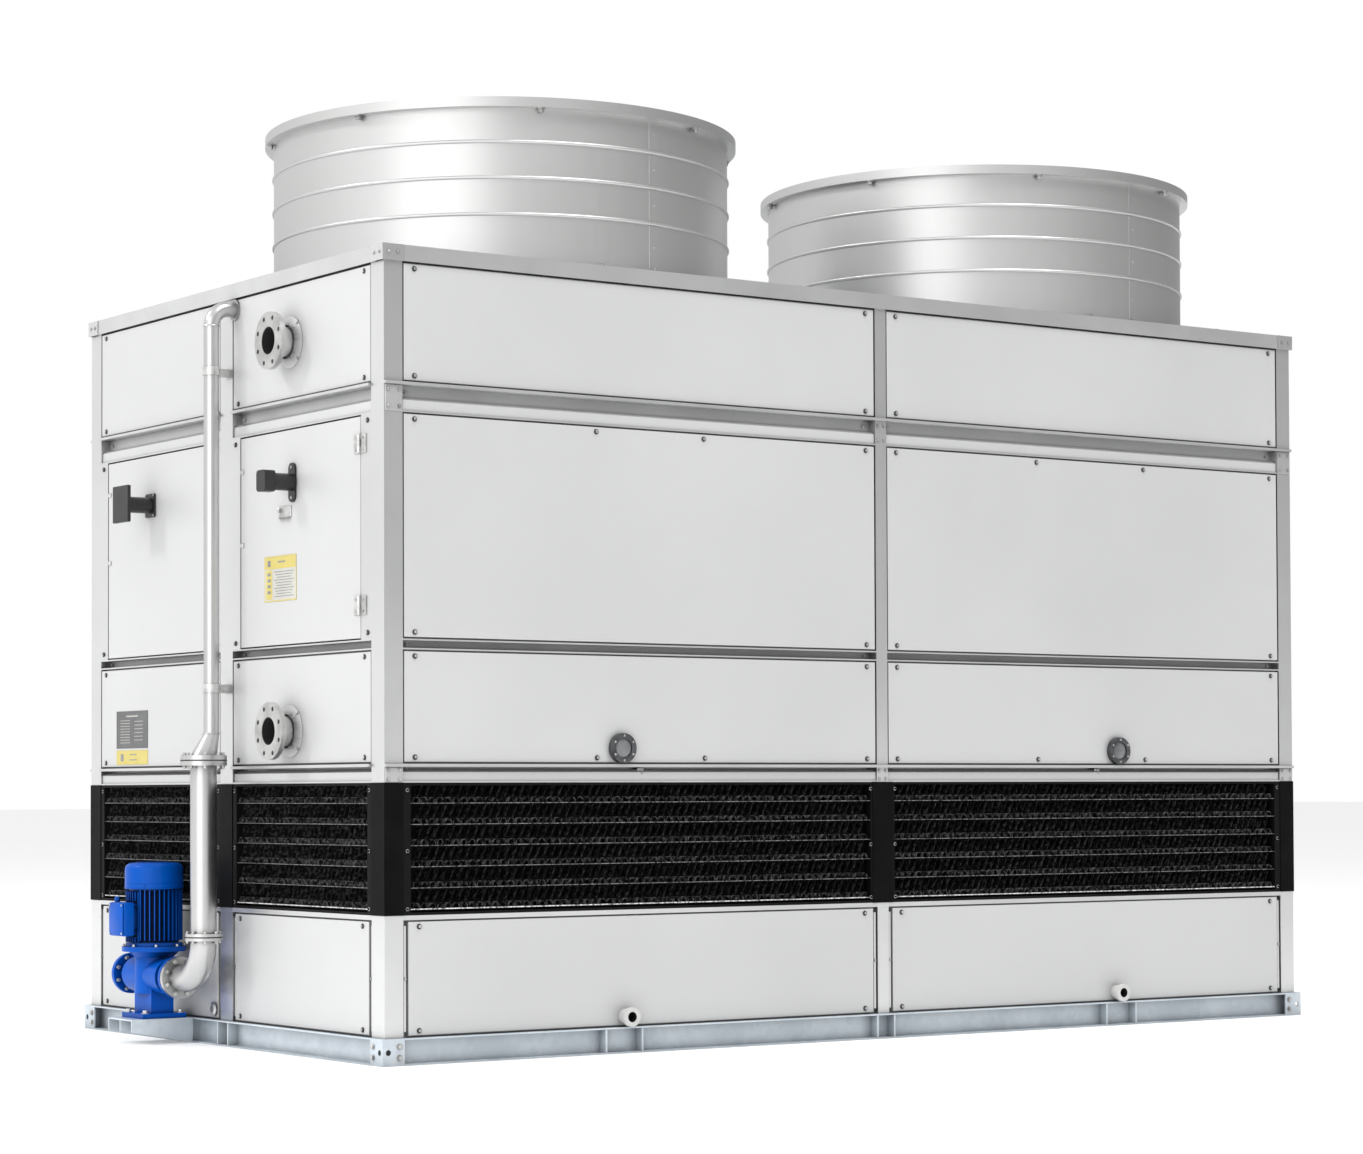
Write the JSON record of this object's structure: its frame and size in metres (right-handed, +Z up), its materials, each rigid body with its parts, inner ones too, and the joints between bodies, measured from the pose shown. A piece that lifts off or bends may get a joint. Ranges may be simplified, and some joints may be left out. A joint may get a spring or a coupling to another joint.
{
  "type": "mechanical draft cooling tower",
  "caption": "Closed-circuit cooling tower: channel base, water basin, inlet louvres, coil casing with access doors, fan stacks on the roof and a spray pump with its riser.",
  "frame": {"origin": "centre of the underside of the middle base cross member, on the floor", "axes": "+X along the long side, away from the pump end; the front wall faces -Y; +Z up"},
  "size_m": [4.929, 2.57, 3.632],
  "materials": {
    "galvanized_base": "hot-dip galvanized, blue-grey and matt",
    "frame_steel": "galvanized sheet, satin",
    "panel_sheet": "galvanized sheet, fine matt",
    "louvre_black": "black moulded plastic",
    "stainless_pipework": "stainless, bright satin",
    "handle_black": "fine moulded texture",
    "stack_sheet": "rolled galvanized sheet, satin",
    "fan_aluminium": "cast, plain",
    "fan_motor_grey": "grey enamel",
    "galvanized_inside": "hot-dip galvanized",
    "drain_plastic": "white moulded plastic",
    "pump_blue": "blue enamel, semi-gloss"
  },
  "bodies": {
    "tower": {"back_louvres": "louvre_black", "base_corner_plates": "galvanized_base", "base_cross_members": "galvanized_base", "base_rails": "galvanized_base", "basin_drains": "drain_plastic", "basin_floor": "panel_sheet", "basin_panels": "panel_sheet", "basin_top_rails": "frame_steel", "coil_bundle": "galvanized_inside", "coil_connections": "stainless_pipework", "coil_stubs": "galvanized_inside", "corner_posts": "frame_steel", "discharge_elbow": "stainless_pipework", "door_stiles": "frame_steel", "drift_eliminator": "louvre_black", "fan_motors": "fan_motor_grey", "fan_rotors": "fan_aluminium", "fan_stack_left": "stack_sheet", "fan_stack_right": "stack_sheet", "fan_supports": "galvanized_inside", "front_louvres": "louvre_black", "hinge_fixed_leaves": "stainless_pipework", "left_louvres": "louvre_black", "louvre_post_covers": "louvre_black", "lower_panels": "panel_sheet", "lower_rails": "frame_steel", "mid_posts": "frame_steel", "mid_rails": "frame_steel", "middle_panels": "panel_sheet", "motor_fan_cover": "pump_blue", "pipe_clamps": "stainless_pipework", "pump_casing": "pump_blue", "pump_motor": "pump_blue", "pump_skid": "galvanized_base", "right_louvres": "louvre_black", "riser_lower": "stainless_pipework", "riser_reducer": "stainless_pipework", "riser_upper": "stainless_pipework", "roof_band": "frame_steel", "roof_corner_caps": "frame_steel", "roof_deck": "panel_sheet", "sight_ports": "stainless_pipework", "spray_header": "galvanized_inside", "terminal_box": "pump_blue", "upper_panels": "panel_sheet", "upper_rails": "frame_steel"},
    "near_door_body": {"near_door": "panel_sheet", "near_door_hinges": "stainless_pipework", "near_door_handle": "handle_black"},
    "far_door_body": {"far_door": "panel_sheet", "far_door_hinges": "stainless_pipework", "far_door_handle": "handle_black"}
  },
  "joints": [
    {"name": "near_door_swing", "type": "hinge", "parent": "tower", "child": "near_door_body", "pos_m": [-2.308, -1.0765, 1.9815], "axis": [0, 0, 1], "range_deg": [0, 110]},
    {"name": "far_door_swing", "type": "hinge", "parent": "tower", "child": "far_door_body", "pos_m": [-2.308, 0.1305, 1.9815], "axis": [0, 0, 1], "range_deg": [0, 100]}
  ]
}
